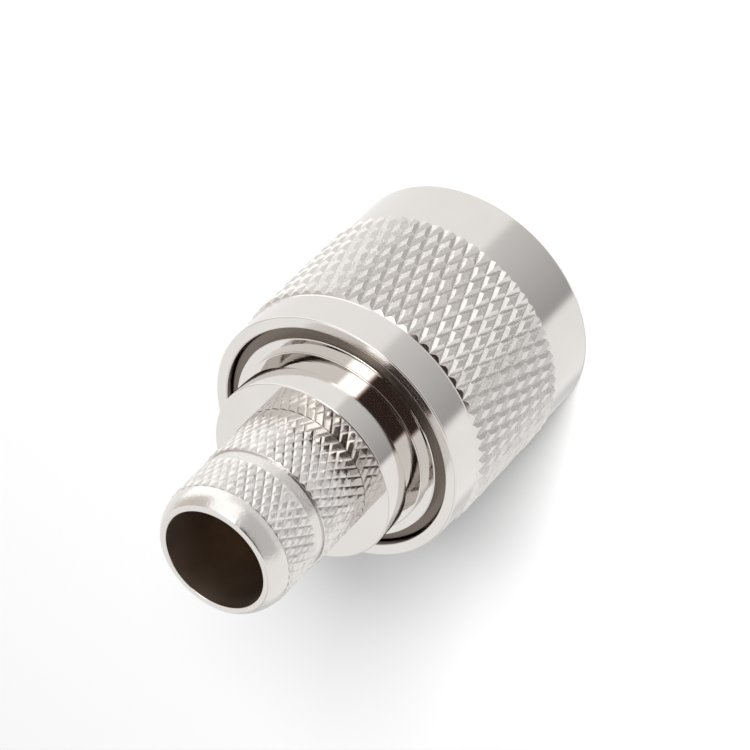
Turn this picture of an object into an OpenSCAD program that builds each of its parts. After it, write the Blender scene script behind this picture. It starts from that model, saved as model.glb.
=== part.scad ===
// Screw-coupling coaxial cable plug, crimp type, for 10 mm cable.
// The axis is Z. The mating face of the coupling nut lies on z = 0 and the cable end points up.

/* [Coupling nut] */
// Length of the nut along the axis
nut_len = 16.9; // [16.2:0.1:19]
// Diameter of the smooth bands in front of and behind the knurl
nut_band_d = 18.5; // [18.3:0.05:18.8]
// Length of the smooth band at the mating end
front_band_len = 4.4; // [2.5:0.1:5]
// Length of the knurled grip
grip_len = 9.85; // [7:0.05:11]
// Diameter over the crests of the grip's knurl
grip_d = 19; // [18.9:0.05:19.5]
// Depth of the grip's knurl
grip_depth = 0.25; // [0.15:0.05:0.4]
// Share of each diamond of the grip that its level top takes
grip_flat = 0.3; // [0.1:0.05:0.8]
// Number of helical lines of the grip's knurl in each direction
grip_lines = 62; // [40:2:80]
// Number of half diamonds along the grip
grip_rows = 7; // [5:1:10]
// Length of the bevel at each end of the grip
grip_bevel = 0.3; // [0.15:0.05:0.5]
// Bevel of the nut's front outer edge
front_bevel = 0.25; // [0.1:0.05:0.5]
// Bevel of the nut's rear edges
rear_bevel = 0.12; // [0.05:0.01:0.3]

/* [Coupling thread] */
// Bore of the coupling thread (5/8-24 UNEF, inner diameter)
thread_d = 14.8; // [14.6:0.05:15]
// Lead-in bevel at the thread's mouth
thread_lead = 0.7; // [0.4:0.1:1.2]
// Length of the threaded bore, lead-in included
thread_len = 9; // [7.5:0.1:9.2]
// Diameter of the relief behind the thread
relief_d = 16.1; // [15.9:0.05:16.3]
// Diameter of the nut's rear bore, in which the body runs
nut_bore_d = 16.8; // [16.6:0.05:17]
// Axial play between the nut's inner shoulder and the body's collar
nut_play = 0.4; // [0.2:0.05:0.6]
// Radial clearance of the body's collar in the nut
run_clear = 0.08; // [0.03:0.01:0.1]

/* [Retaining ring] */
// Radial depth of the ring's groove in the nut
ring_seat_depth = 0.35; // [0.25:0.05:0.4]
// Diameter of the ring's groove floor on the body
ring_floor_d = 14.8; // [14.4:0.1:15]
// Width of the groove on the body
ring_groove_w = 1; // [0.8:0.05:1.2]
// Distance from the collar's front face to the groove
ring_offset = 2.2; // [1.5:0.1:2.4]
// Clearance of the ring in its grooves
ring_clear = 0.1; // [0.05:0.01:0.15]
// Room under the ring, into which it is pressed when the nut goes on
ring_room = 0.3; // [0.2:0.05:0.5]
// Extra width of the nut's groove on each side
ring_seat_margin = 0.15; // [0.1:0.05:0.25]
// Opening of the split ring
ring_gap = 3; // [2:0.5:6]

/* [Body] */
// Depth of the collar's rear face below the nut's rear edge
collar_sink = 0.5; // [0.4:0.05:1.5]
// Bevel of the collar's rear edge
collar_bevel = 0.15; // [0.05:0.05:0.3]
// Diameter of the step in front of the collar
front_step_d = 14.3; // [14:0.1:14.5]
// Length of the step in front of the collar
front_step_len = 0.7; // [0.6:0.05:0.9]
// Diameter of the barrel that shows in the nut's rear opening
barrel_d = 15.3; // [14.8:0.1:16]
// Diameter of the small ring behind the barrel
small_ring_d = 13.9; // [13.5:0.1:14.5]
// Length of the small ring
small_ring_len = 0.55; // [0.3:0.05:1]
// Diameter of the neck groove
neck_d = 11.9; // [11:0.1:12.5]
// Width of the neck groove
neck_len = 1.4; // [0.8:0.1:2]
// Diameter of the flange
flange_d = 13.4; // [13:0.1:14.4]
// Thickness of the flange
flange_len = 2; // [1.2:0.1:3]
// Bevel of the flange's edges
flange_bevel = 0.12; // [0.05:0.01:0.3]
// Bevel of the barrel's and the small ring's edges
step_bevel = 0.12; // [0.04:0.01:0.15]

/* [Crimp stem] */
// Length of the knurl next to the flange
root_knurl_len = 4.65; // [3.5:0.05:7]
// Diameter over the crests of that knurl
root_knurl_d = 9.64; // [9.5:0.02:9.9]
// Width of the groove between the two knurls
stem_groove_w = 0.15; // [0.1:0.05:0.4]
// Length of the smooth land behind the groove
land_len = 0.75; // [0.4:0.05:1.5]
// Diameter of the smooth land
land_d = 9.3; // [9.2:0.02:9.4]
// Length of the knurl next to the nose
nose_knurl_len = 3.1; // [2:0.05:5]
// Diameter over the crests of that knurl
nose_knurl_d = 9.44; // [9.4:0.02:9.6]
// Length of the rounded nose at the cable entry
nose_len = 1.5; // [1:0.1:2.5]
// Outer diameter of the nose at its mouth
nose_d = 8.2; // [8:0.05:8.6]
// Depth of the stem's knurls
stem_knurl_depth = 0.12; // [0.06:0.02:0.26]
// Share of each diamond of the stem's knurls that its level top takes
stem_flat = 0.6; // [0.3:0.05:0.8]
// Number of helical lines of the stem's knurls in each direction
stem_lines = 44; // [30:2:60]
// Half diamonds along the knurl next to the flange
root_rows = 8; // [4:1:12]
// Half diamonds along the knurl next to the nose
nose_rows = 5; // [3:1:9]
// Length of the bevel at each end of the stem's knurls
stem_bevel = 0.1; // [0.05:0.01:0.2]
// Bore for the cable's core
cable_bore_d = 7.36; // [7:0.02:7.6]
// Depth of the bore for the cable's core
cable_bore_len = 10.6; // [9:0.1:10.8]
// Bevel inside the mouth
mouth_bevel = 0.1; // [0.05:0.01:0.2]

/* [Outer contact] */
// Distance of the contact's tip behind the nut's face
contact_recess = 1.2; // [0.8:0.1:1.6]
// Distance from the contact's tip to the gasket's seat
contact_reach = 9.1; // [8.9:0.05:9.4]
// Outer diameter of the contact sleeve
contact_d = 8.1; // [8:0.02:8.3]
// Inner diameter of the contact sleeve
contact_bore_d = 7; // [6.8:0.05:7.2]
// Diameter of the hub that is pressed into the body
hub_d = 10.2; // [9.8:0.1:10.5]
// Height by which the hub stands out of the body
hub_proud = 0.6; // [0.4:0.05:0.9]
// Depth of the hub's seat in the body
hub_seat_len = 2.3; // [1.5:0.1:2.6]
// Number of slots in the sleeve
slot_count = 4; // [3:1:6]
// Width of a slot
slot_w = 0.4; // [0.2:0.05:0.8]
// Length of a slot
slot_len = 5.5; // [3:0.1:7]
// Bevel at the contact's tip
tip_bevel = 0.2; // [0.1:0.05:0.4]

/* [Gasket] */
// Outer diameter of the gasket
gasket_d = 14; // [13:0.1:14.3]
// Thickness of the gasket
gasket_len = 1.2; // [0.9:0.1:1.4]
// Clearance of the gasket on the hub
gasket_clear = 0.05; // [0.02:0.01:0.1]

/* [Insulator and centre contact] */
// Diameter of the insulator bead
bead_d = 9.2; // [8.8:0.1:9.6]
// Length of the insulator bead
bead_len = 2.8; // [2:0.1:3.2]
// Clearance of the fitted pieces
fit_clear = 0.02; // [0.01:0.01:0.05]
// Diameter of the passage behind the bead
passage_d = 6.8; // [6:0.1:7]
// Diameter of the mating pin
pin_d = 1.65; // [1.6:0.01:1.7]
// Length of the mating pin
pin_len = 4; // [3:0.1:4.6]
// Distance from the contact's tip back to the pin's shoulder
pin_shoulder = 5.26; // [5:0.02:5.5]
// Diameter of the contact's middle
shank_d = 3.04; // [2.8:0.02:3.2]
// Diameter of the solder cup
cup_d = 3.9; // [3.6:0.1:4.4]
// Bore of the solder cup, for the cable's inner conductor
cup_bore_d = 2.84; // [2.6:0.02:3]
// Length of the solder cup
cup_len = 4.8; // [4:0.1:4.9]
// Depth of the solder cup's bore
cup_bore_len = 4; // [3:0.1:4.2]
// Diameter of the solder hole in the cup's side
solder_hole_d = 1; // [0.6:0.1:1.4]

/* [Hidden] */
$fn = 96;

// How far a knurl's core lies under its neighbours, and how far the knurl reaches into the core
core_drop = 0.2;
core_grip = 0.1;
// How far a knurl's end ring stays inside the band beside it
end_drop = 0.03;
arc_steps = 8;

// Stations along the axis, from the mating face to the cable entry
grip_z = front_band_len;
grip_end_z = grip_z + grip_len;
contact_z = contact_recess;
seat_z = contact_z + contact_reach;
collar_z = seat_z + front_step_len;
shoulder_z = collar_z - nut_play;
ring_z = collar_z + ring_offset;
barrel_z = nut_len;
collar_end_z = barrel_z - collar_sink;
small_ring_z = barrel_z + small_ring_len;
flange_z = small_ring_z + neck_len;
stem_z = flange_z + flange_len;
groove_z = stem_z + root_knurl_len;
land_z = groove_z + stem_groove_w;
nose_knurl_z = land_z + land_len;
nose_z = nose_knurl_z + nose_knurl_len;
mouth_z = nose_z + nose_len;
hub_end_z = seat_z + hub_seat_len;
bead_end_z = hub_end_z + bead_len;
cable_stop_z = mouth_z - cable_bore_len;

// Radii that follow from the sizes above
band_r = nut_band_d / 2;
collar_r = nut_bore_d / 2 - run_clear;
ring_seat_r = nut_bore_d / 2 + ring_seat_depth;
root_core_r = root_knurl_d / 2 - stem_knurl_depth - core_drop;
nose_core_r = nose_knurl_d / 2 - stem_knurl_depth - core_drop;

nickel = [0.80, 0.79, 0.77];
spring_bronze = [0.72, 0.62, 0.45];
silicone = [0.70, 0.25, 0.16];
white_plastic = [0.93, 0.93, 0.91];
gold = [0.86, 0.68, 0.32];

// Points of an arc about a centre, from one angle to another
function arc(centre, r, from, to) =
    [for (i = [0:arc_steps]) let (a = from + (to - from) * i / arc_steps)
        centre + r * [cos(a), sin(a)]];

// Solid of revolution about Z from a profile of [radius, height] points
module turned(profile) {
    rotate_extrude() polygon(profile);
}

// Ring with a diamond knurl: two crossing sets of helical grooves leave rows of diamonds with level tops.
// Crests and groove crossings alternate along each row, and the next row is half a step on. flat is the
// share of a diamond that its top takes. A bevel leads from the outer rows to a plain ring at each end.
module diamond_knurl(lines, rows, z0, z1, bevel, crest_r, root_r, end_r, inner_r, flat) {
    count = 2 * lines;
    pitch = (z1 - z0 - 2 * bevel) / rows;
    function level(k) = z0 + bevel + k * pitch;
    function is_crest(k, j) = (j + k) % 2 == 0;
    function at(r, j, z) = [r * cos(j * 360 / count), r * sin(j * 360 / count), z];

    // Each place of the grid has four points: the left, right, lower and upper corner of a top.
    // At a groove crossing all four are the same, and the first is used.
    function corners(k, j) = let (f = is_crest(k, j) ? flat : 0, r = is_crest(k, j) ? crest_r : root_r)
        [at(r, j - f, level(k)), at(r, j + f, level(k)),
         at(r, j, level(k) - f * pitch), at(r, j, level(k) + f * pitch)];
    function spot(k, j) = 4 * (k * count + (j + count) % count);
    function crossing(k, j) = spot(k, j);
    function left(k, j) = spot(k, j);
    function right(k, j) = spot(k, j) + 1;
    function lower(k, j) = spot(k, j) + 2;
    function upper(k, j) = spot(k, j) + 3;

    // The end rings have one point beside each groove crossing of the outer rows
    function column(k, i) = 2 * i + 1 + k % 2;
    rings = 4 * count * (rows + 1);
    function low_end(i) = rings + i % lines;
    function high_end(i) = rings + lines + i % lines;
    points = concat(
        [for (k = [0:rows], j = [0:count - 1]) each corners(k, j)],
        [for (i = [0:lines - 1]) at(end_r, column(0, i), z0)],
        [for (i = [0:lines - 1]) at(end_r, column(rows, i), z1)]);

    // Side of a diamond from two groove crossings a and b up to the top's corners c and d
    function side(a, b, c, d) = [[a, b, c], [a, c, d]];
    function upper_half(k, j) = concat(
        [[left(k, j), upper(k, j), right(k, j)]],
        side(crossing(k, j - 1), crossing(k + 1, j), upper(k, j), left(k, j)),
        side(crossing(k + 1, j), crossing(k, j + 1), right(k, j), upper(k, j)));
    function lower_half(k, j) = concat(
        [[left(k, j), right(k, j), lower(k, j)]],
        side(crossing(k, j + 1), crossing(k - 1, j), lower(k, j), right(k, j)),
        side(crossing(k - 1, j), crossing(k, j - 1), left(k, j), lower(k, j)));
    diamonds = [for (k = [0:rows], j = [0:count - 1]) if (is_crest(k, j))
        each concat(k < rows ? upper_half(k, j) : [], k > 0 ? lower_half(k, j) : [])];

    function low_bevel(i) = let (j = column(0, i)) [
        [low_end(i), crossing(0, j), left(0, j + 1)],
        [low_end(i), left(0, j + 1), right(0, j + 1)],
        [low_end(i), right(0, j + 1), low_end(i + 1)],
        [low_end(i + 1), right(0, j + 1), crossing(0, j + 2)]];
    function high_bevel(i) = let (j = column(rows, i)) [
        [crossing(rows, j), high_end(i), left(rows, j + 1)],
        [left(rows, j + 1), high_end(i), right(rows, j + 1)],
        [right(rows, j + 1), high_end(i), high_end(i + 1)],
        [right(rows, j + 1), high_end(i + 1), crossing(rows, j + 2)]];
    bevels = [for (i = [0:lines - 1]) each concat(low_bevel(i), high_bevel(i))];
    ends = [[for (i = [0:lines - 1]) low_end(i)], [for (i = [lines - 1:-1:0]) high_end(i)]];
    difference() {
        polyhedron(points, concat(diamonds, bevels, ends), convexity = 10);
        translate([0, 0, z0 - bevel])
            cylinder(r = inner_r, h = z1 - z0 + 2 * bevel);
    }
}

// Nut that turns freely on the body and screws onto the jack
module coupling_nut() {
    core_r = band_r - core_drop;
    thread_r = thread_d / 2;
    bore_r = nut_bore_d / 2;
    color(nickel) {
        turned([
            [thread_r + thread_lead, 0],
            [band_r - front_bevel, 0],
            [band_r, front_bevel],
            [band_r, grip_z],
            [core_r, grip_z],
            [core_r, grip_end_z],
            [band_r, grip_end_z],
            [band_r, nut_len - rear_bevel],
            [band_r - rear_bevel, nut_len],
            [bore_r + rear_bevel, nut_len],
            [bore_r, nut_len - rear_bevel],
            [bore_r, ring_z + ring_groove_w + ring_seat_margin],
            [ring_seat_r, ring_z + ring_groove_w + ring_seat_margin],
            [ring_seat_r, ring_z - ring_seat_margin],
            [bore_r, ring_z - ring_seat_margin],
            [bore_r, shoulder_z],
            [relief_d / 2, shoulder_z],
            [relief_d / 2, thread_len],
            [thread_r, thread_len],
            [thread_r, thread_lead]]);
        diamond_knurl(grip_lines, grip_rows, grip_z, grip_end_z, grip_bevel,
            grip_d / 2, grip_d / 2 - grip_depth, band_r - end_drop, core_r - core_grip, grip_flat);
    }
}

// Turned body: seat of the contact, collar for the nut, flange and knurled crimp stem
module connector_body() {
    nose_drop = (land_d - nose_d) / 2;
    nose_arc_r = (nose_len * nose_len + nose_drop * nose_drop) / (2 * nose_drop);
    nose_angle = asin(nose_len / nose_arc_r);
    bore_r = cable_bore_d / 2;
    color(nickel) {
        turned(concat([
            [hub_d / 2 + fit_clear, seat_z],
            [front_step_d / 2, seat_z],
            [front_step_d / 2, collar_z],
            [collar_r, collar_z],
            [collar_r, ring_z],
            [ring_floor_d / 2, ring_z],
            [ring_floor_d / 2, ring_z + ring_groove_w],
            [collar_r, ring_z + ring_groove_w],
            [collar_r, collar_end_z - collar_bevel],
            [collar_r - collar_bevel, collar_end_z],
            [barrel_d / 2, collar_end_z],
            [barrel_d / 2, barrel_z - step_bevel],
            [barrel_d / 2 - step_bevel, barrel_z],
            [small_ring_d / 2, barrel_z],
            [small_ring_d / 2, small_ring_z - step_bevel],
            [small_ring_d / 2 - step_bevel, small_ring_z],
            [neck_d / 2, small_ring_z],
            [neck_d / 2, flange_z],
            [flange_d / 2 - flange_bevel, flange_z],
            [flange_d / 2, flange_z + flange_bevel],
            [flange_d / 2, stem_z - flange_bevel],
            [flange_d / 2 - flange_bevel, stem_z],
            [root_core_r, stem_z],
            [root_core_r, land_z],
            [land_d / 2, land_z],
            [land_d / 2, nose_knurl_z],
            [nose_core_r, nose_knurl_z],
            [nose_core_r, nose_z]],
            arc([land_d / 2 - nose_arc_r, nose_z], nose_arc_r, 0, nose_angle), [
            [bore_r + mouth_bevel, mouth_z],
            [bore_r, mouth_z - mouth_bevel],
            [bore_r, cable_stop_z],
            [passage_d / 2, cable_stop_z],
            [passage_d / 2, bead_end_z],
            [bead_d / 2 + fit_clear, bead_end_z],
            [bead_d / 2 + fit_clear, hub_end_z],
            [hub_d / 2 + fit_clear, hub_end_z]]));
        diamond_knurl(stem_lines, root_rows, stem_z, groove_z, stem_bevel,
            root_knurl_d / 2, root_knurl_d / 2 - stem_knurl_depth,
            root_knurl_d / 2 - stem_knurl_depth, root_core_r - core_grip, stem_flat);
        diamond_knurl(stem_lines, nose_rows, nose_knurl_z, nose_z, stem_bevel,
            nose_knurl_d / 2, nose_knurl_d / 2 - stem_knurl_depth,
            land_d / 2 - end_drop, nose_core_r - core_grip, stem_flat);
    }
}

// Split spring ring that lies in both grooves and keeps the nut on the body
module retaining_ring() {
    inner_r = ring_floor_d / 2 + ring_room;
    outer_r = ring_seat_r - ring_clear;
    color(spring_bronze)
    difference() {
        turned([
            [inner_r, ring_z + ring_clear],
            [outer_r, ring_z + ring_clear],
            [outer_r, ring_z + ring_groove_w - ring_clear],
            [inner_r, ring_z + ring_groove_w - ring_clear]]);
        translate([0, -ring_gap / 2, ring_z])
            cube([outer_r + ring_gap, ring_gap, ring_groove_w]);
    }
}

// Flat sealing ring on the body's front face
module gasket() {
    color(silicone)
    turned([
        [hub_d / 2 + gasket_clear, seat_z - gasket_len],
        [gasket_d / 2, seat_z - gasket_len],
        [gasket_d / 2, seat_z],
        [hub_d / 2 + gasket_clear, seat_z]]);
}

// Slotted contact sleeve, pressed into the body by its hub
module outer_contact() {
    sleeve_r = contact_d / 2;
    hub_z = seat_z - hub_proud;
    color(nickel)
    difference() {
        turned([
            [contact_bore_d / 2, contact_z],
            [sleeve_r - tip_bevel, contact_z],
            [sleeve_r, contact_z + tip_bevel],
            [sleeve_r, hub_z],
            [hub_d / 2, hub_z],
            [hub_d / 2, hub_end_z],
            [contact_bore_d / 2, hub_end_z]]);
        for (i = [0:slot_count - 1])
            rotate([0, 0, (i + 0.5) * 360 / slot_count])
                translate([0, -slot_w / 2, contact_z - slot_w])
                    cube([contact_d, slot_w, slot_len + slot_w]);
    }
}

// Bead that holds the centre contact in the body
module insulator() {
    color(white_plastic)
    turned([
        [shank_d / 2 + fit_clear, hub_end_z],
        [bead_d / 2, hub_end_z],
        [bead_d / 2, bead_end_z],
        [shank_d / 2 + fit_clear, bead_end_z]]);
}

// Mating pin, shank through the bead and solder cup for the cable's inner conductor
module centre_contact() {
    shoulder_z = contact_z + pin_shoulder;
    pin_r = pin_d / 2;
    cup_end_z = bead_end_z + cup_len;
    cup_floor_z = cup_end_z - cup_bore_len;
    color(gold)
    difference() {
        turned(concat(
            arc([0, shoulder_z - pin_len + pin_r], pin_r, -90, 0), [
            [pin_r, shoulder_z],
            [shank_d / 2, shoulder_z],
            [shank_d / 2, bead_end_z],
            [cup_d / 2, bead_end_z],
            [cup_d / 2, cup_end_z],
            [cup_bore_d / 2, cup_end_z],
            [cup_bore_d / 2, cup_floor_z],
            [0, cup_floor_z]]));
        translate([0, 0, cup_floor_z + solder_hole_d])
            rotate([0, 90, 0])
                cylinder(d = solder_hole_d, h = cup_d);
    }
}

coupling_nut();
connector_body();
retaining_ring();
gasket();
outer_contact();
insulator();
centre_contact();
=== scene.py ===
import math

import bmesh
import bpy
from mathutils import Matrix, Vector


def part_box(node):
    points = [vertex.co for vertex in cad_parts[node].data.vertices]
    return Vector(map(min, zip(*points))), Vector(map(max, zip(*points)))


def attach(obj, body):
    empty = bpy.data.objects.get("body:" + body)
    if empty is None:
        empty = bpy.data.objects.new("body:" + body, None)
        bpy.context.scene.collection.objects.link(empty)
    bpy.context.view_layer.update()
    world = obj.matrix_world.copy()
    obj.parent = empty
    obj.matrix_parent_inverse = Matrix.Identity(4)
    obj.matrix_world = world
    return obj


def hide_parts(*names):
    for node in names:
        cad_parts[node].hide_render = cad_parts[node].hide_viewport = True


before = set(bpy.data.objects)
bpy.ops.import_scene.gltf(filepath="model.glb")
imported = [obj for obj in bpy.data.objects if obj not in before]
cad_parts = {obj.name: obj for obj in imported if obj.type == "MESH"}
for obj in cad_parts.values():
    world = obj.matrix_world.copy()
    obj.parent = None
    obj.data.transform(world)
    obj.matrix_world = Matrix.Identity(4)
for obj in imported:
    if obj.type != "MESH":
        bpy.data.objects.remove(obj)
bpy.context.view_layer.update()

# Connector body
# One piece of brass turned on a lathe: the collar that carries the nut, the stepped barrel, the flange
# and the hollow crimp stem, whose two bands are rolled with a diamond knurl. Plated with bright nickel,
# which hardly reaches into the bore. The bore's dark brown is partly this bare brass and partly painted
# shade, and the narrow recess by the nut is darkened with painted shade.
MM = 0.001
TOUCH = 0.002
FULL_TURN = 2 * math.pi

seat_z = 10.3
collar_z = 11.0
ring_groove_z = 13.2
ring_groove_end_z = 14.2
collar_end_z = 16.4
barrel_end_z = 16.9
small_ring_end_z = 17.45
flange_z = 18.85
stem_z = 20.85
step_z = 25.5
land_z = 25.65
nose_knurl_z = 26.4
nose_z = 29.5
mouth_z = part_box("connector_body")[1].z / MM
cable_bore_len = 10.6
cable_stop_z = mouth_z - cable_bore_len
hub_end_z = 12.6
bead_end_z = 15.4

front_step_r = 7.15
collar_r = 8.32
ring_floor_r = 7.4
barrel_r = 7.65
small_ring_r = 6.95
neck_r = 5.95
flange_r = 6.7
root_knurl_r = 4.82
nose_knurl_r = 4.72
stem_depth = 0.08
stem_groove = 0.15
stem_uneven = 0.015
single_zone = 1.15
land_r = 4.65
nose_r = 4.1
cable_bore_r = 3.68
passage_r = 3.4
bead_seat_r = 4.62
hub_seat_r = 5.12
step_drop = 0.12
edge_round = 0.1
flange_round = 0.04
collar_round = 0.15
mouth_round = 0.08
bore_lip = 0.1
recess_reach = 0.2

stem_lines = 44
root_rows = 8
nose_rows = 5
band_margin = 0.03
nose_steps = 8


def levels_between(low, high, rows):
    """Heights of a knurl's rows, which end a little short of the band's two edges."""
    first, last = low + band_margin, high - band_margin
    return [first + (last - first) * k / rows for k in range(rows + 1)]


def arc(centre_r, centre_z, r, start, end, steps):
    """Corners of an arc in an outline, between two angles in radians."""
    angles = [start + (end - start) * k / steps for k in range(steps + 1)]
    return [(centre_r + r * math.cos(a), centre_z + r * math.sin(a)) for a in angles]


def turned(name, outline, around, closed=True):
    """Draws an outline of (radius, height) corners in millimetres and spins it into a solid. An outline
    that isn't closed starts and ends on the axis."""
    bpy.ops.object.select_all(action="DESELECT")
    bpy.ops.mesh.primitive_plane_add(size=1, location=(outline[0][0], 0, outline[0][1]))
    piece = bpy.context.object
    piece.name = piece.data.name = name
    bpy.ops.object.transform_apply(location=True)
    bpy.ops.object.mode_set(mode="EDIT")
    bpy.ops.mesh.select_mode(type="VERT")
    bpy.ops.mesh.select_all(action="SELECT")
    bpy.ops.mesh.merge(type="CENTER")
    for (r, z), (next_r, next_z) in zip(outline, outline[1:] + outline[:1] if closed else outline[1:]):
        bpy.ops.mesh.extrude_vertices_move(TRANSFORM_OT_translate={"value": (next_r - r, 0, next_z - z)})
    bpy.ops.mesh.select_all(action="SELECT")
    bpy.ops.mesh.remove_doubles(threshold=TOUCH / 10)
    bpy.ops.mesh.spin(steps=around, angle=FULL_TURN, center=(0, 0, 0), axis=(0, 0, 1))
    bpy.ops.mesh.select_all(action="SELECT")
    bpy.ops.mesh.remove_doubles(threshold=TOUCH / 10)
    bpy.ops.mesh.normals_make_consistent(inside=False)
    bpy.ops.object.mode_set(mode="OBJECT")
    return piece


def pick(piece, kind, wanted):
    """In edit mode, selects the corners, edges or faces for which wanted() holds."""
    bpy.ops.mesh.select_mode(type=kind)
    bpy.ops.mesh.select_all(action="DESELECT")
    mesh = bmesh.from_edit_mesh(piece.data)
    for part in {"VERT": mesh.verts, "EDGE": mesh.edges, "FACE": mesh.faces}[kind]:
        if wanted(part):
            part.select_set(True)
    mesh.select_flush_mode()
    bmesh.update_edit_mesh(piece.data)


def round_rings(piece, corners, width, segments=3):
    """Rounds the edges that run round the piece at the outline's given corners."""

    def on_corner(edge):
        places = [(v.co.xy.length, v.co.z) for v in edge.verts]
        return any(all(math.dist(p, c) < TOUCH for p in places) for c in corners)

    bpy.context.view_layer.objects.active = piece
    bpy.ops.object.mode_set(mode="EDIT")
    pick(piece, "EDGE", on_corner)
    bpy.ops.mesh.bevel(offset=width, segments=segments, affect="EDGES")
    bpy.ops.object.mode_set(mode="OBJECT")


def roll_knurl(piece, lines, levels, crest_r, depth, groove, uneven, single=0, end_run=0):
    """Rolls two crossing sets of grooves into the rows of a band, which leaves flat-topped diamonds.
    Their corners are off by up to uneven. Up to the height called single, only the right-hand set is
    there. end_run is the length of the slope at the band's upper end."""
    step = math.pi / lines
    valley_r = crest_r - depth

    def row(vertex):
        near = [k for k, z in enumerate(levels) if abs(vertex.co.z - z) < TOUCH]
        on_band = near and vertex.co.xy.length > valley_r - TOUCH
        return near[0] if on_band else None

    def on_end(vertex):
        return row(vertex) in (0, len(levels) - 1)

    def is_crest(vertex):
        column = round(math.atan2(vertex.co.y, vertex.co.x) / step)
        return row(vertex) is not None and (column + row(vertex)) % 2 == 0

    def in_band(face):
        return all(row(v) is not None for v in face.verts)

    def inside_diamond(edge):
        rows = [row(v) for v in edge.verts]
        on_border = rows[0] == rows[1] and on_end(edge.verts[0])
        return None not in rows and any(is_crest(v) for v in edge.verts) and not on_border

    def left_handed(edge):
        low, high = sorted((v.co for v in edge.verts), key=lambda co: co.z)
        turns_back = low.x * high.y - low.y * high.x < 0
        return turns_back and in_band(edge) and low.z < high.z - TOUCH and high.z < single

    def on_top(vertex):
        in_rows = levels[0] - groove < vertex.co.z < levels[-1] + groove
        return in_rows and vertex.co.xy.length > valley_r + depth / 2

    def top_at_start(vertex):
        return on_top(vertex) and 0 < vertex.co.z - levels[0] < groove + TOUCH

    def top_at_end(vertex):
        return on_top(vertex) and 0 < levels[-1] - vertex.co.z < groove + TOUCH

    bpy.context.view_layer.objects.active = piece
    bpy.ops.object.mode_set(mode="EDIT")
    press = valley_r / crest_r
    pick(piece, "VERT", lambda v: row(v) is not None and (on_end(v) or not is_crest(v)))
    bpy.ops.transform.resize(value=(press, press, 1), center_override=(0, 0, 0))
    pick(piece, "FACE", in_band)
    bpy.ops.mesh.quads_convert_to_tris(quad_method="SHORTEST_DIAGONAL")
    pick(piece, "EDGE", inside_diamond)
    bpy.ops.mesh.dissolve_edges(use_verts=False)
    pick(piece, "EDGE", left_handed)
    bpy.ops.mesh.dissolve_edges(use_verts=False)
    pick(piece, "FACE", in_band)
    bpy.ops.mesh.inset(thickness=groove, depth=depth, use_individual=True)
    pick(piece, "VERT", top_at_start)
    bpy.ops.transform.translate(value=(0, 0, TOUCH - groove))
    pick(piece, "VERT", top_at_end)
    bpy.ops.transform.translate(value=(0, 0, groove - max(end_run, TOUCH)))
    pick(piece, "VERT", lambda v: on_top(v) and levels[0] + groove < v.co.z < levels[-1] - groove)
    bpy.ops.transform.vertex_random(offset=uneven, seed=lines)
    bpy.ops.object.mode_set(mode="OBJECT")


def paint(piece, material, wanted=None):
    """Gives a material to the whole piece, or to the faces for which wanted() holds."""
    piece.data.materials.append(material)
    if wanted:
        bpy.context.view_layer.objects.active = piece
        piece.active_material_index = len(piece.data.materials) - 1
        bpy.ops.object.mode_set(mode="EDIT")
        pick(piece, "FACE", wanted)
        bpy.ops.object.material_slot_assign()
        bpy.ops.object.mode_set(mode="OBJECT")


def finish_piece(piece, body, node, crease=28):
    """Smooths a piece up to the crease angle in degrees, keeps its plain walls even beside their rounded
    edges, brings it from millimetres to metres and lets it stand for its CAD node."""
    bpy.ops.object.select_all(action="DESELECT")
    piece.select_set(True)
    bpy.context.view_layer.objects.active = piece
    bpy.ops.object.shade_smooth_by_angle(angle=math.radians(crease))
    bpy.ops.object.modifier_add(type="WEIGHTED_NORMAL")
    even = piece.modifiers[-1]
    even.keep_sharp, even.weight = True, 100
    bpy.ops.object.modifier_apply(modifier=even.name)
    bpy.ops.transform.resize(value=(MM, MM, MM), center_override=(0, 0, 0))
    bpy.ops.object.transform_apply(location=True, rotation=True, scale=True)
    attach(piece, body)
    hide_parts(node)


class Wire:
    """A node's output. Arithmetic on it adds Math nodes, and node() adds any other node to its tree."""

    def __init__(self, tree, socket=None):
        self.tree = tree
        self.socket = socket

    def node(self, kind, settings=None, sockets=None, out=0):
        """Adds a node, sets its settings, feeds its sockets by name or number, and gives one output."""
        made = self.tree.nodes.new("ShaderNode" + kind)
        for key, value in (settings or {}).items():
            if key == "stops":
                while len(made.color_ramp.elements) < len(value):
                    made.color_ramp.elements.new(1)
                for element, (place, colour) in zip(made.color_ramp.elements, value):
                    element.position, element.color = place, colour
            else:
                setattr(made, key, value)
        for key, value in (sockets or {}).items():
            if isinstance(value, Wire):
                self.tree.links.new(value.socket, made.inputs[key])
            else:
                made.inputs[key].default_value = value
        return Wire(self.tree, made.outputs[out])

    def out(self, name):
        """Another output of the same node."""
        return Wire(self.tree, self.socket.node.outputs[name])

    def maths(self, operation, *values):
        """A Math node on these values."""
        return self.node("Math", {"operation": operation}, dict(enumerate(values)))

    def feed(self, *sockets):
        """Links this output to these inputs."""
        for socket in sockets:
            self.tree.links.new(self.socket, socket)

    def __add__(self, other):
        return self.maths("ADD", self, other)

    def __sub__(self, other):
        return self.maths("SUBTRACT", self, other)

    def __mul__(self, other):
        return self.maths("MULTIPLY", self, other)

    def __pow__(self, other):
        return self.maths("POWER", self, other)

    def __radd__(self, other):
        return self.maths("ADD", other, self)

    def __rsub__(self, other):
        return self.maths("SUBTRACT", other, self)

    def __rmul__(self, other):
        return self.maths("MULTIPLY", other, self)


nickel = (0.765, 0.736, 0.706, 1)
dull_share = 0.93
cloud_spread = 0.06


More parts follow.
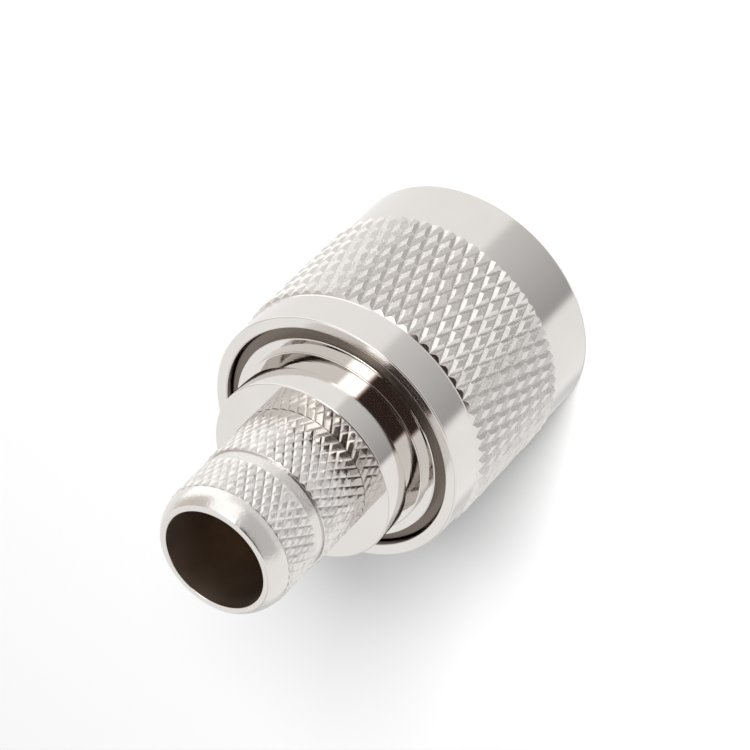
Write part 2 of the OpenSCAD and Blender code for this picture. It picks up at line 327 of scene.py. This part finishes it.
def nickel_plate(name, roughness, marks, grain=0.0, spread=0.06):
    """Nickel plate with faint clouds in its shine, the fine rings that the turning tool left and, on
    rolled surfaces, a fine grain. marks and grain are heights in millimetres, and spread is the grain's
    change in roughness."""
    material = bpy.data.materials.new(name)
    material.use_nodes = True
    surface = material.node_tree.nodes["Principled BSDF"]
    place = Wire(material.node_tree).node("TexCoord", out="Object")
    x = place.node("SeparateXYZ", sockets={0: place}, out="X")
    y, z = x.out("Y"), x.out("Z")
    radius = (x * x + y * y) ** 0.5
    across = place.node("CombineXYZ", sockets={"X": radius, "Z": z})
    rings = place.node("TexNoise", sockets={"Vector": across, "Scale": 9000, "Detail": 3})
    clouds = place.node("TexNoise", sockets={"Vector": place, "Scale": 420, "Detail": 4})
    specks = place.node("TexNoise", sockets={"Vector": place, "Scale": 4500, "Detail": 4})
    dull = [dull_share * c for c in nickel[:3]] + [1]
    colour = place.node("Mix", {"data_type": "RGBA"},
                        {"Factor": clouds, "A": nickel, "B": dull}, out="Result")
    colour.feed(surface.inputs["Base Color"])
    uneven = cloud_spread * (clouds - 0.5) + spread * (specks - 0.5)
    (roughness + uneven).feed(surface.inputs["Roughness"])
    height = marks * rings + grain * specks
    bump = place.node("Bump", sockets={"Height": height, "Strength": 1.0, "Distance": MM})
    bump.feed(surface.inputs["Normal"])
    surface.inputs["Metallic"].default_value = 1
    return material


def bare_brass_and_shade(name, shade):
    """Dull brown bare brass where the plating is thin, with a dark tone that is partly painted shade. shade
    scales the tone, and below 1 it is painted shade that darkens a recess.
    """
    material = bpy.data.materials.new(name)
    material.use_nodes = True
    surface = material.node_tree.nodes["Principled BSDF"]
    place = Wire(material.node_tree).node("TexCoord", out="Object")
    stains = place.node("TexNoise", sockets={"Vector": place, "Scale": 300, "Detail": 4})
    colour = place.node("Mix", {"data_type": "RGBA"},
                        {"Factor": stains, "A": [shade * c for c in (0.27, 0.225, 0.19)] + [1],
                         "B": [shade * c for c in (0.36, 0.305, 0.265)] + [1]},
                        out="Result")
    colour.feed(surface.inputs["Base Color"])
    (0.4 + 0.2 * (stains - 0.5)).feed(surface.inputs["Roughness"])
    surface.inputs["Metallic"].default_value = 1
    return material


root_levels = levels_between(stem_z, step_z, root_rows)
nose_levels = levels_between(nose_knurl_z, nose_z, nose_rows)
nose_drop = land_r - nose_r
nose_len = mouth_z - nose_z
nose_arc_r = (nose_len ** 2 + nose_drop ** 2) / (2 * nose_drop)
nose_end = math.asin(nose_len / nose_arc_r)
nose_arc = arc(land_r - nose_arc_r, nose_z, nose_arc_r, 0, nose_end, nose_steps)
root_valley_r = root_knurl_r - stem_depth
step_r = root_valley_r - step_drop
body_outline = [
    (hub_seat_r, seat_z), (front_step_r, seat_z), (front_step_r, collar_z), (collar_r, collar_z),
    (collar_r, ring_groove_z), (ring_floor_r, ring_groove_z), (ring_floor_r, ring_groove_end_z),
    (collar_r, ring_groove_end_z), (collar_r, collar_end_z), (barrel_r, collar_end_z),
    (barrel_r, barrel_end_z), (small_ring_r, barrel_end_z), (small_ring_r, small_ring_end_z),
    (neck_r, small_ring_end_z), (neck_r, flange_z), (flange_r, flange_z), (flange_r, stem_z),
    (root_valley_r, stem_z),
    *[(root_knurl_r, z) for z in root_levels],
    (root_valley_r, step_z), (step_r, step_z), (step_r, land_z), (land_r, land_z), (land_r, nose_knurl_z),
    *[(nose_knurl_r, z) for z in nose_levels],
    *nose_arc,
    (cable_bore_r, mouth_z), (cable_bore_r, cable_stop_z), (passage_r, cable_stop_z),
    (passage_r, bead_end_z), (bead_seat_r, bead_end_z), (bead_seat_r, hub_end_z), (hub_seat_r, hub_end_z),
]


def in_bore(place):
    """Whether a face lies in the cable bore."""
    return place.xy.length < cable_bore_r and place.z < mouth_z - bore_lip


def in_shaded_recess(place):
    """Whether a face lies in the narrow recess between the barrel and the nut, which gets painted shade."""
    return place.xy.length > barrel_r + TOUCH and collar_end_z - recess_reach < place.z < barrel_end_z


connector_body = turned("crimp_body", body_outline, 2 * stem_lines)
roll_knurl(connector_body, stem_lines, root_levels, root_knurl_r, stem_depth, stem_groove, stem_uneven,
           single=stem_z + single_zone, end_run=stem_depth)
roll_knurl(connector_body, stem_lines, nose_levels, nose_knurl_r, stem_depth, stem_groove, stem_uneven)
round_rings(connector_body, [(barrel_r, barrel_end_z), (small_ring_r, small_ring_end_z),
                             (flange_r, stem_z), (collar_r, collar_z)], edge_round)
round_rings(connector_body, [(flange_r, flange_z)], flange_round)
round_rings(connector_body, [(collar_r, collar_end_z)], collar_round)
round_rings(connector_body, [(cable_bore_r, mouth_z), (nose_r, mouth_z)], mouth_round)
paint(connector_body, nickel_plate("bright_nickel", roughness=0.06, marks=0.0015))
paint(connector_body, nickel_plate("stem_nickel", roughness=0.22, marks=0.001, grain=0.016, spread=0.2),
      lambda f: f.calc_center_median().z > stem_z + TOUCH)
# The cable bore's dark brown is partly dull bare brass and partly painted shade for the dark deep inside it.
paint(connector_body, bare_brass_and_shade("bare_brass_and_shade", shade=1.9), lambda f: in_bore(f.calc_center_median()))
# Painted shade: the narrow recess between the barrel and the nut gets a darker copy of the brass so that it
# looks shadowed.
paint(connector_body, bare_brass_and_shade("painted_shade_recess", shade=0.65), lambda f: in_shaded_recess(f.calc_center_median()))
finish_piece(connector_body, "body", "connector_body")

# Insulator bead
# Round bead of white fluoroplastic, cut from bar and pressed into the body, which keeps the pin in the
# middle of the contact sleeve.
bead_r = 4.6
bead_hole_r = 1.54
bead_edge = 0.12
bead_sides = 72


def fluoroplastic(name):
    """Waxy white plastic with faint turning rings and a slight cloudiness."""
    material = bpy.data.materials.new(name)
    material.use_nodes = True
    surface = material.node_tree.nodes["Principled BSDF"]
    place = Wire(material.node_tree).node("TexCoord", out="Object")
    x = place.node("SeparateXYZ", sockets={0: place}, out="X")
    radius = (x * x + x.out("Y") * x.out("Y")) ** 0.5
    across = place.node("CombineXYZ", sockets={"X": radius})
    rings = place.node("TexNoise", sockets={"Vector": across, "Scale": 5000, "Detail": 2})
    clouds = place.node("TexNoise", sockets={"Vector": place, "Scale": 500, "Detail": 3})
    colour = place.node("Mix", {"data_type": "RGBA"},
                        {"Factor": clouds, "A": (0.86, 0.86, 0.84, 1), "B": (0.80, 0.80, 0.77, 1)},
                        out="Result")
    colour.feed(surface.inputs["Base Color"])
    (0.38 + 0.15 * (rings - 0.5)).feed(surface.inputs["Roughness"])
    bump = place.node("Bump", sockets={"Height": rings, "Strength": 1.0, "Distance": 0.01 * MM})
    bump.feed(surface.inputs["Normal"])
    surface.inputs["Subsurface Weight"].default_value = 0.15
    surface.inputs["Subsurface Scale"].default_value = MM
    return material


bead = turned("insulator_bead", [(bead_hole_r, hub_end_z), (bead_r, hub_end_z), (bead_r, bead_end_z),
                                 (bead_hole_r, bead_end_z)], bead_sides)
round_rings(bead, [(bead_r, hub_end_z), (bead_r, bead_end_z), (bead_hole_r, hub_end_z)], bead_edge)
paint(bead, fluoroplastic("white_fluoroplastic"))
finish_piece(bead, "body", "insulator")

# Centre contact
# Brass pin turned in one piece with its shank and the solder cup for the cable's inner conductor. Solder
# is fed through a hole in the cup's side. The pin has a thin gold plate.
pin_r = 0.825
pin_tip_z = 2.46
pin_shoulder_z = 6.46
shank_r = 1.52
cup_r = 1.95
cup_end_z = 20.2
cup_bore_r = 1.42
cup_floor_z = 16.2
solder_hole_r = 0.5
solder_hole_z = 17.2
pin_round = 0.1
pin_sides = 48
hole_sides = 32
tip_steps = 10


def carve(piece, tool):
    """Cuts a tool's shape out of a piece and removes the tool."""
    bpy.ops.object.select_all(action="DESELECT")
    bpy.context.view_layer.objects.active = piece
    bpy.ops.object.modifier_add(type="BOOLEAN")
    change = piece.modifiers[-1]
    change.operation, change.solver, change.object = "DIFFERENCE", "EXACT", tool
    bpy.ops.object.modifier_apply(modifier=change.name)
    bpy.data.objects.remove(tool)


def gold_plate(name):
    """Thin gold over bright nickel, a little paler where it is thin."""
    material = bpy.data.materials.new(name)
    material.use_nodes = True
    surface = material.node_tree.nodes["Principled BSDF"]
    place = Wire(material.node_tree).node("TexCoord", out="Object")
    thin = place.node("TexNoise", sockets={"Vector": place, "Scale": 600, "Detail": 4})
    colour = place.node("Mix", {"data_type": "RGBA"},
                        {"Factor": thin, "A": (0.83, 0.60, 0.25, 1), "B": (0.86, 0.68, 0.36, 1)},
                        out="Result")
    colour.feed(surface.inputs["Base Color"])
    (0.16 + 0.12 * (thin - 0.5)).feed(surface.inputs["Roughness"])
    surface.inputs["Metallic"].default_value = 1
    return material


pin = turned("centre_pin", [
    *arc(0, pin_tip_z + pin_r, pin_r, -math.pi / 2, 0, tip_steps), (pin_r, pin_shoulder_z),
    (shank_r, pin_shoulder_z), (shank_r, bead_end_z), (cup_r, bead_end_z), (cup_r, cup_end_z),
    (cup_bore_r, cup_end_z), (cup_bore_r, cup_floor_z), (0, cup_floor_z)], pin_sides, closed=False)
round_rings(pin, [(shank_r, pin_shoulder_z), (cup_r, cup_end_z), (cup_r, bead_end_z)], pin_round)
bpy.ops.mesh.primitive_cylinder_add(vertices=hole_sides, radius=solder_hole_r, depth=cup_r,
                                    location=(cup_r, 0, solder_hole_z), rotation=(0, math.pi / 2, 0))
carve(pin, bpy.context.object)
paint(pin, gold_plate("gold_plate"))
finish_piece(pin, "body", "centre_contact")

# Outer contact
# Turned brass sleeve, sawn into four springing fingers that grip inside the jack. Its hub is pressed into
# the body's front. Bright nickel plate.
sleeve_bore_r = 3.5
sleeve_r = 4.05
sleeve_tip_z = 1.2
tip_bevel = 0.2
hub_r = 5.1
hub_z = 9.7
slot_count = 4
slot_w = 0.4
slot_len = 5.5
sleeve_round = 0.08
ring_sides = 96

sleeve = turned("contact_sleeve", [
    (sleeve_bore_r, sleeve_tip_z), (sleeve_r - tip_bevel, sleeve_tip_z), (sleeve_r, sleeve_tip_z + tip_bevel),
    (sleeve_r, hub_z), (hub_r, hub_z), (hub_r, hub_end_z), (sleeve_bore_r, hub_end_z)], ring_sides)
round_rings(sleeve, [(hub_r, hub_z), (sleeve_bore_r, sleeve_tip_z)], sleeve_round)
for slot in range(slot_count):
    angle = FULL_TURN * (slot + 0.5) / slot_count
    bpy.ops.mesh.primitive_cube_add(
        size=1, location=(sleeve_r * math.cos(angle), sleeve_r * math.sin(angle), sleeve_tip_z),
        rotation=(0, 0, angle), scale=(sleeve_r, slot_w, 2 * slot_len))
    carve(sleeve, bpy.context.object)
paint(sleeve, nickel_plate("contact_nickel", roughness=0.12, marks=0.002))
finish_piece(sleeve, "body", "outer_contact")

# Gasket
# Flat ring of red-brown silicone rubber that lies round the hub on the body's front face and seals
# against the jack.
gasket_r = 7.0
gasket_hole_r = 5.15
gasket_z = 9.1
gasket_round = 0.15


def silicone(name):
    """Matte rubber, slightly mottled, with a fine moulded skin."""
    material = bpy.data.materials.new(name)
    material.use_nodes = True
    surface = material.node_tree.nodes["Principled BSDF"]
    place = Wire(material.node_tree).node("TexCoord", out="Object")
    mottle = place.node("TexNoise", sockets={"Vector": place, "Scale": 700, "Detail": 4})
    skin = place.node("TexNoise", sockets={"Vector": place, "Scale": 8000, "Detail": 2})
    colour = place.node("Mix", {"data_type": "RGBA"},
                        {"Factor": mottle, "A": (0.42, 0.075, 0.04, 1), "B": (0.50, 0.105, 0.055, 1)},
                        out="Result")
    colour.feed(surface.inputs["Base Color"])
    (0.6 + 0.15 * (mottle - 0.5)).feed(surface.inputs["Roughness"])
    bump = place.node("Bump", sockets={"Height": skin, "Strength": 1.0, "Distance": 0.01 * MM})
    bump.feed(surface.inputs["Normal"])
    return material


gasket = turned("sealing_ring", [(gasket_hole_r, gasket_z), (gasket_r, gasket_z), (gasket_r, seat_z),
                                 (gasket_hole_r, seat_z)], ring_sides)
round_rings(gasket, [(gasket_hole_r, gasket_z), (gasket_r, gasket_z), (gasket_r, seat_z)], gasket_round, 4)
paint(gasket, silicone("red_silicone"))
finish_piece(gasket, "body", "gasket")

# Retaining ring
# Split ring of springy bronze strip. It is pressed into the body's groove while the nut goes on, then
# springs out into the nut's groove and keeps the nut on the body.
ring_r = 8.65
ring_inner_r = 7.7
ring_z = 13.3
ring_end_z = 14.1
ring_opening = 3.0
ring_round = 0.1


def spring_bronze(name):
    """Plain rolled bronze, a little darker in patches."""
    material = bpy.data.materials.new(name)
    material.use_nodes = True
    surface = material.node_tree.nodes["Principled BSDF"]
    place = Wire(material.node_tree).node("TexCoord", out="Object")
    patches = place.node("TexNoise", sockets={"Vector": place, "Scale": 500, "Detail": 4})
    colour = place.node("Mix", {"data_type": "RGBA"},
                        {"Factor": patches, "A": (0.60, 0.42, 0.22, 1), "B": (0.50, 0.33, 0.16, 1)},
                        out="Result")
    colour.feed(surface.inputs["Base Color"])
    (0.3 + 0.2 * (patches - 0.5)).feed(surface.inputs["Roughness"])
    surface.inputs["Metallic"].default_value = 1
    return material


ring = turned("split_ring", [(ring_inner_r, ring_z), (ring_r, ring_z), (ring_r, ring_end_z),
                             (ring_inner_r, ring_end_z)], ring_sides)
round_rings(ring, [(ring_r, ring_z), (ring_r, ring_end_z)], ring_round)
bpy.ops.mesh.primitive_cube_add(size=1, location=(ring_r, 0, ring_z), scale=(ring_r, ring_opening, ring_r))
carve(ring, bpy.context.object)
paint(ring, spring_bronze("spring_bronze"))
finish_piece(ring, "body", "retaining_ring")

# Coupling nut
# Turned brass sleeve with a rolled grip of small-topped diamonds between two smooth bands, and a thread
# inside for the jack. The grip's rear end is bevelled. It turns freely on the collar. Satin nickel plate.
nut_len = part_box("coupling_nut")[1].z / MM
grip_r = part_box("coupling_nut")[1].x / MM
band_r = 9.25
grip_z = 4.4
grip_end_z = 14.22
grip_depth = 0.19
grip_groove = 0.24
grip_uneven = 0.04
grip_bevel = 0.2
grip_end_gap = 0.07
grip_margin = 0.02
end_slope = 0.5
grip_lines = 62
grip_rows = 7
front_round = 0.25
rim_round = 0.12
round_steps = 10
nut_crease = 10
thread_mouth_r = 8.1
thread_r = 7.4
thread_root_r = 7.94
thread_pitch = 1.058
thread_end_z = 9
thread_turns = 8
thread_sunk = 0.05
thread_flank = math.radians(30)
relief_r = 8.05
shoulder_z = 10.6
nut_bore_r = 8.4
ring_seat_r = 8.75
ring_seat_z = 13.05
ring_seat_end_z = 14.35


def coupling_thread():
    """Right-hand ridge of a 60 degree thread, which runs out into the bevel at the nut's mouth."""
    sunk_r = thread_root_r + thread_sunk
    half_crest = thread_pitch / 8
    half_base = half_crest + (sunk_r - thread_r) * math.tan(thread_flank)
    start_z = thread_end_z - thread_turns * thread_pitch - half_base
    bpy.ops.object.select_all(action="DESELECT")
    bpy.ops.mesh.primitive_plane_add(size=1, location=(sunk_r, 0, start_z), rotation=(math.pi / 2, 0, 0))
    ridge = bpy.context.object
    bpy.ops.object.transform_apply(location=True, rotation=True)
    for corner in ridge.data.vertices:
        inner = corner.co.x < sunk_r
        half = half_crest if inner else half_base
        corner.co.x = thread_r if inner else sunk_r
        corner.co.z = start_z + math.copysign(half, corner.co.z - start_z)
    bpy.ops.object.mode_set(mode="EDIT")
    bpy.ops.mesh.select_all(action="SELECT")
    bpy.ops.mesh.delete(type="ONLY_FACE")
    bpy.ops.object.mode_set(mode="OBJECT")
    bpy.ops.object.modifier_add(type="SCREW")
    screw = ridge.modifiers[-1]
    screw.axis, screw.screw_offset, screw.iterations = "Z", thread_pitch, thread_turns
    screw.steps = screw.render_steps = ring_sides
    bpy.ops.object.modifier_apply(modifier=screw.name)
    for corner in ridge.data.vertices:
        corner.co.z = max(corner.co.z, TOUCH)
        out = max(1, (thread_mouth_r + thread_sunk - corner.co.z) / corner.co.xy.length)
        corner.co.x, corner.co.y = corner.co.x * out, corner.co.y * out
    bpy.ops.object.mode_set(mode="EDIT")
    bpy.ops.mesh.select_all(action="SELECT")
    bpy.ops.mesh.remove_doubles(threshold=TOUCH / 10)
    bpy.ops.mesh.fill_holes(sides=0)
    bpy.ops.mesh.normals_make_consistent(inside=False)
    bpy.ops.object.mode_set(mode="OBJECT")
    return ridge


def on_grip(face):
    """Whether a face belongs to the grip's diamonds, and not to the slopes at the grip's two ends."""
    return face.calc_center_median().xy.length > band_r + grip_margin and abs(face.normal.z) < end_slope


grip_levels = levels_between(grip_z, grip_end_z - grip_end_gap, grip_rows)
crest_r = grip_r - grip_uneven
nut = turned("knurled_nut", [
    (thread_mouth_r, 0), (band_r, 0), (band_r, grip_z),
    *[(crest_r, z) for z in grip_levels],
    (band_r, grip_end_z), (band_r, nut_len), (nut_bore_r, nut_len), (nut_bore_r, ring_seat_end_z),
    (ring_seat_r, ring_seat_end_z), (ring_seat_r, ring_seat_z), (nut_bore_r, ring_seat_z),
    (nut_bore_r, shoulder_z), (relief_r, shoulder_z), (relief_r, thread_end_z),
    (thread_root_r, thread_end_z), (thread_root_r, thread_mouth_r - thread_root_r)], 2 * grip_lines)
roll_knurl(nut, grip_lines, grip_levels, crest_r, grip_depth, grip_groove, grip_uneven, end_run=grip_bevel)
round_rings(nut, [(band_r, nut_len), (nut_bore_r, nut_len)], rim_round, round_steps)
round_rings(nut, [(band_r, 0)], front_round, round_steps)
satin_nickel = nickel_plate("satin_nickel", roughness=0.14, marks=0.003)
paint(nut, satin_nickel)
paint(nut, nickel_plate("rolled_nickel", roughness=0.24, marks=0.0, grain=0.03, spread=0.3), on_grip)
thread = coupling_thread()
paint(thread, satin_nickel)
bpy.ops.object.select_all(action="DESELECT")
thread.select_set(True)
nut.select_set(True)
bpy.context.view_layer.objects.active = nut
bpy.ops.object.join()
finish_piece(nut, "nut", "coupling_nut", crease=nut_crease)

# Camera
# Long lens that looks down on the standing plug, rolled so that the cable end points to the lower left.
camera_data = bpy.data.cameras.new("photo_view")
camera = bpy.data.objects.new("photo_view", camera_data)
bpy.context.scene.collection.objects.link(camera)
bpy.context.scene.camera = camera
camera_data.sensor_width = 36
camera_data.lens = 191.7
camera_data.clip_start = 0.01
aim = (0.00103, 0, 0.01056)
distance = 0.2643
look_down = math.radians(41.13)
roll = math.radians(-135.17)
camera.location = (aim[0], aim[1] - distance * math.cos(look_down), aim[2] + distance * math.sin(look_down))
camera.rotation_euler = (math.radians(90) - look_down, 0, 0)
camera.rotation_euler.rotate_axis("Z", roll)

# Floor, light and surroundings
# White sheet under the plug, one soft box above the camera, and a pale room with a darker gap round the
# camera, a bright panel beside it and a grey panel behind.
bpy.ops.object.select_all(action="DESELECT")
floor_size = 3
floor_drop = 0.00002
bpy.ops.mesh.primitive_plane_add(size=floor_size, location=(0, 0, -floor_drop))
floor = bpy.context.object
floor.name = "floor"
white_sheet = bpy.data.materials.new("white_sheet")
white_sheet.use_nodes = True
sheet_tree = white_sheet.node_tree
sheet_tree.nodes["Principled BSDF"].inputs["Base Color"].default_value = (0.95, 0.95, 0.95, 1)
sheet_tree.nodes["Principled BSDF"].inputs["Roughness"].default_value = 0.9
sheet = Wire(sheet_tree, sheet_tree.nodes["Principled BSDF"].outputs[0])
rays = sheet.node("LightPath", out="Is Glossy Ray")
behind = sheet.node("NewGeometry", out="Backfacing")
clear = sheet.node("BsdfTransparent")
shown = sheet.node("MixShader", sockets={0: rays.maths("MAXIMUM", rays, behind), 1: sheet, 2: clear})
shown.feed(sheet_tree.nodes["Material Output"].inputs["Surface"])
floor.data.materials.append(white_sheet)

lamp_data = bpy.data.lights.new("soft_box", "AREA")
lamp_data.shape = "SQUARE"
lamp_data.size = 0.18
lamp_data.energy = 3.8
lamp = bpy.data.objects.new("soft_box", lamp_data)
bpy.context.scene.collection.objects.link(lamp)
lamp.visible_glossy = False
lamp_distance = 0.6
lamp_azimuth = math.radians(13)
lamp_height = math.radians(43)
lamp.location = (lamp_distance * math.sin(lamp_azimuth) * math.cos(lamp_height),
                 -lamp_distance * math.cos(lamp_azimuth) * math.cos(lamp_height),
                 lamp_distance * math.sin(lamp_height))
lamp.rotation_euler = (math.radians(90) - lamp_height, 0, lamp_azimuth)

world = bpy.data.worlds.new("studio")
bpy.context.scene.world = world
world.use_nodes = True
sky_tree = world.node_tree
backdrop = sky_tree.nodes["Background"]
in_degrees = 180 / math.pi
direction = Wire(sky_tree).node("TexCoord", out="Generated")
sky_x = direction.node("SeparateXYZ", sockets={0: direction}, out="X")
azimuth = sky_x.maths("ARCTAN2", sky_x, -1 * sky_x.out("Y")) * in_degrees
height = sky_x.maths("ARCSINE", sky_x.out("Z")) * in_degrees


def between(value, low, high, soft):
    """Mask that is 1 where a value lies between two limits, with soft edges."""
    rise = value.node("MapRange", {"interpolation_type": "SMOOTHSTEP"},
                      {"Value": value, "From Min": low - soft, "From Max": low + soft})
    fall = value.node("MapRange", {"interpolation_type": "SMOOTHSTEP"},
                      {"Value": value, "From Min": high - soft, "From Max": high + soft})
    return rise * (1 - fall)


def over(below, mask, level):
    """Lays a level over another where a mask is 1."""
    return below + mask * (level - below)


low = between(height, -95, -28, 8)
under = between(height, -95, -48, 4)
pale = between(height, -36, -20, 4)
gap = between(azimuth, -60, 22, 4)
soft_box = between(azimuth, 18, 66, 4) * between(height, -16, 28, 5)
lamp_face = between(azimuth, 16, 46, 4) * between(height, 28, 65, 4)
low_side = between(azimuth, 50, 118, 6) * between(height, -36, -9, 4)
side = between(azimuth, 70, 134, 6) * between(height, -5, 30, 8)
deep = between(azimuth, -60, 16, 4) * between(height, 33, 75, 3)
back = between(azimuth, -170, -138, 8) * between(height, -75, 60, 10)
gap_level = 0.63 + low * (0.02 + 0.0048 * azimuth)
zones = [(under, 0.94), (gap, gap_level), (gap * pale, 0.88), (gap * under, 0.55), (low_side, 1.5),
         (side, 0.72), (back, 0.72), (soft_box, 1.4), (lamp_face, 2.2), (deep, 0.045)]
diffuse_level = 0.45
seen = 1.03
for mask, level in zones:
    seen = over(seen, mask, level)
glossy = direction.node("LightPath", out="Is Glossy Ray")
warm = direction.node("Mix", {"data_type": "RGBA"},
                      {"Factor": side * glossy, "A": (1, 1, 1, 1), "B": (1, 0.93, 0.86, 1)}, out="Result")
brown = direction.node("Mix", {"data_type": "RGBA"},
                       {"Factor": deep * glossy, "A": warm, "B": (1, 0.62, 0.53, 1)}, out="Result")
brown.feed(backdrop.inputs["Color"])
strength = over(diffuse_level, glossy, seen)
over(strength, glossy.out("Is Camera Ray"), 1).feed(backdrop.inputs["Strength"])

bpy.context.scene.view_settings.view_transform = "Standard"
